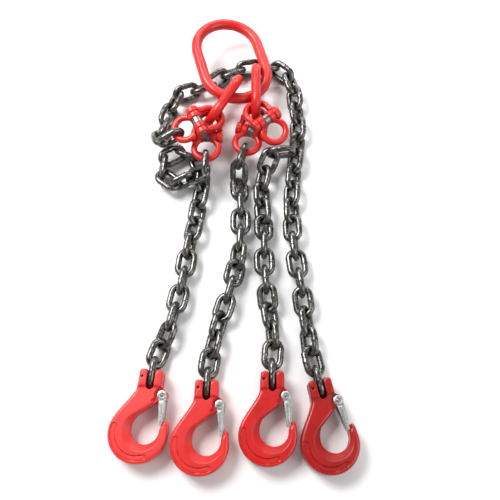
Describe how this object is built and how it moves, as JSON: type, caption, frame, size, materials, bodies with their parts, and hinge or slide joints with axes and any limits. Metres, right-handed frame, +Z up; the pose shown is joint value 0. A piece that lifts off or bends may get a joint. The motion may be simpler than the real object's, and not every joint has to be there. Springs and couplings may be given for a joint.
{
  "type": "chain sling",
  "caption": "Chain lifting sling with an oblong master link, intermediate links, connecting links, welded link chain legs and latched clevis hooks, laid out flat.",
  "frame": {"origin": "on the floor under the middle of the laid-out sling", "axes": "+Y from the hooks towards the master link, +Z up from the floor"},
  "size_m": [0.284, 0.6096, 0.0627],
  "materials": {
    "red_coat": "satin powder coat over forged steel",
    "chain_steel": "dark oiled heat-treated steel",
    "pin_steel": "plain turned steel",
    "zinc_sheet": "bright zinc plated sheet"
  },
  "bodies": {
    "laid_sling": {"intermediate_link_left": "red_coat", "intermediate_link_right": "red_coat", "connector_1_lower_half": "red_coat", "connector_1_load_pin": "pin_steel", "connector_1_sleeve": "pin_steel", "connector_2_lower_half": "red_coat", "connector_2_load_pin": "pin_steel", "connector_2_sleeve": "pin_steel", "connector_3_lower_half": "red_coat", "connector_3_load_pin": "pin_steel", "connector_3_sleeve": "pin_steel", "connector_4_lower_half": "red_coat", "connector_4_load_pin": "pin_steel", "connector_4_sleeve": "pin_steel", "leg_1_chain_upper": "chain_steel", "leg_2_chain_upper": "chain_steel", "leg_3_chain_upper": "chain_steel", "leg_4_chain_upper": "chain_steel"},
    "master": {"master_link": "red_coat"},
    "connector_1_upper": {"connector_1_upper_half": "red_coat"},
    "connector_2_upper": {"connector_2_upper_half": "red_coat"},
    "connector_3_upper": {"connector_3_upper_half": "red_coat"},
    "connector_4_upper": {"connector_4_upper_half": "red_coat"},
    "leg_1_lower": {"leg_1_chain_lower": "chain_steel"},
    "leg_2_lower": {"leg_2_chain_lower": "chain_steel"},
    "leg_3_lower": {"leg_3_chain_lower": "chain_steel"},
    "leg_4_lower": {"leg_4_chain_lower": "chain_steel"},
    "hook_1": {"hook_1_body": "red_coat", "hook_1_clevis_pin": "pin_steel", "hook_1_retaining_pin": "pin_steel", "hook_1_latch_pin": "pin_steel"},
    "hook_1_latch": {"hook_1_latch": "zinc_sheet"},
    "hook_2": {"hook_2_body": "red_coat", "hook_2_clevis_pin": "pin_steel", "hook_2_retaining_pin": "pin_steel", "hook_2_latch_pin": "pin_steel"},
    "hook_2_latch": {"hook_2_latch": "zinc_sheet"},
    "hook_3": {"hook_3_body": "red_coat", "hook_3_clevis_pin": "pin_steel", "hook_3_retaining_pin": "pin_steel", "hook_3_latch_pin": "pin_steel"},
    "hook_3_latch": {"hook_3_latch": "zinc_sheet"},
    "hook_4": {"hook_4_body": "red_coat", "hook_4_clevis_pin": "pin_steel", "hook_4_retaining_pin": "pin_steel", "hook_4_latch_pin": "pin_steel"},
    "hook_4_latch": {"hook_4_latch": "zinc_sheet"}
  },
  "joints": [
    {"name": "master_lift", "type": "hinge", "parent": "laid_sling", "child": "master", "pos_m": [0.01048, 0.17405, 0.0367], "axis": [0.9629, 0.27, 0], "range_deg": [0, 20]},
    {"name": "connector_1_swing", "type": "hinge", "parent": "laid_sling", "child": "connector_1_upper", "pos_m": [-0.04976, 0.12919, 0.0501], "axis": [0.4431, -0.8965, 0], "range_deg": [-2, 1]},
    {"name": "connector_2_swing", "type": "hinge", "parent": "laid_sling", "child": "connector_2_upper", "pos_m": [-0.03816, 0.11769, 0.0322], "axis": [0.9996, -0.03, 0], "range_deg": [-1, 2]},
    {"name": "connector_3_swing", "type": "hinge", "parent": "laid_sling", "child": "connector_3_upper", "pos_m": [0.02034, 0.13069, 0.0223], "axis": [0.9536, -0.3011, 0], "range_deg": [-2, 4]},
    {"name": "connector_4_swing", "type": "hinge", "parent": "laid_sling", "child": "connector_4_upper", "pos_m": [0.03974, 0.13629, 0.0427], "axis": [0.7926, 0.6097, 0], "range_deg": [-4, 1]},
    {"name": "leg_1_fold", "type": "hinge", "parent": "laid_sling", "child": "leg_1_lower", "pos_m": [-0.06744, -0.08815, 0.0134], "axis": [-0.978, 0.2088, 0], "range_deg": [0, 10]},
    {"name": "leg_2_fold", "type": "hinge", "parent": "laid_sling", "child": "leg_2_lower", "pos_m": [0.00672, 0.01473, 0.0134], "axis": [-1, 0.0031, 0], "range_deg": [0, 10]},
    {"name": "leg_3_fold", "type": "hinge", "parent": "laid_sling", "child": "leg_3_lower", "pos_m": [0.03669, -0.03992, 0.0134], "axis": [-0.9996, -0.0292, 0], "range_deg": [0, 10]},
    {"name": "leg_4_fold", "type": "hinge", "parent": "laid_sling", "child": "leg_4_lower", "pos_m": [0.07953, -0.06676, 0.0134], "axis": [-0.9911, -0.133, 0], "range_deg": [0, 10]},
    {"name": "hook_1_swing", "type": "hinge", "parent": "leg_1_lower", "child": "hook_1", "pos_m": [-0.09616, -0.19681, 0.0134], "axis": [-0.9945, 0.1045, 0], "range_deg": [0, 25]},
    {"name": "hook_1_latch_pivot", "type": "hinge", "parent": "hook_1", "child": "hook_1_latch", "pos_m": [-0.08257, -0.21674, 0.0134], "axis": [0, 0, -1], "range_deg": [0, 30], "stiffness_Nm_per_rad": 0.1, "springref_deg": -17.19},
    {"name": "hook_2_swing", "type": "hinge", "parent": "leg_2_lower", "child": "hook_2", "pos_m": [-0.03116, -0.20881, 0.0134], "axis": [-0.9998, 0.0175, 0], "range_deg": [0, 25]},
    {"name": "hook_2_latch_pivot", "type": "hinge", "parent": "hook_2", "child": "hook_2_latch", "pos_m": [-0.01588, -0.22748, 0.0134], "axis": [0, 0, -1], "range_deg": [0, 30], "stiffness_Nm_per_rad": 0.1, "springref_deg": -17.19},
    {"name": "hook_3_swing", "type": "hinge", "parent": "leg_3_lower", "child": "hook_3", "pos_m": [0.04484, -0.19881, 0.0134], "axis": [-1, 0, 0], "range_deg": [0, 25]},
    {"name": "hook_3_latch_pivot", "type": "hinge", "parent": "hook_3", "child": "hook_3_latch", "pos_m": [0.06044, -0.21721, 0.0134], "axis": [0, 0, -1], "range_deg": [0, 30], "stiffness_Nm_per_rad": 0.1, "springref_deg": -17.19},
    {"name": "hook_4_swing", "type": "hinge", "parent": "leg_4_lower", "child": "hook_4", "pos_m": [0.10084, -0.20781, 0.0134], "axis": [-0.9744, -0.225, 0], "range_deg": [0, 25]},
    {"name": "hook_4_latch_pivot", "type": "hinge", "parent": "hook_4", "child": "hook_4_latch", "pos_m": [0.12018, -0.22223, 0.0134], "axis": [0, 0, -1], "range_deg": [0, 30], "stiffness_Nm_per_rad": 0.1, "springref_deg": -17.19}
  ]
}
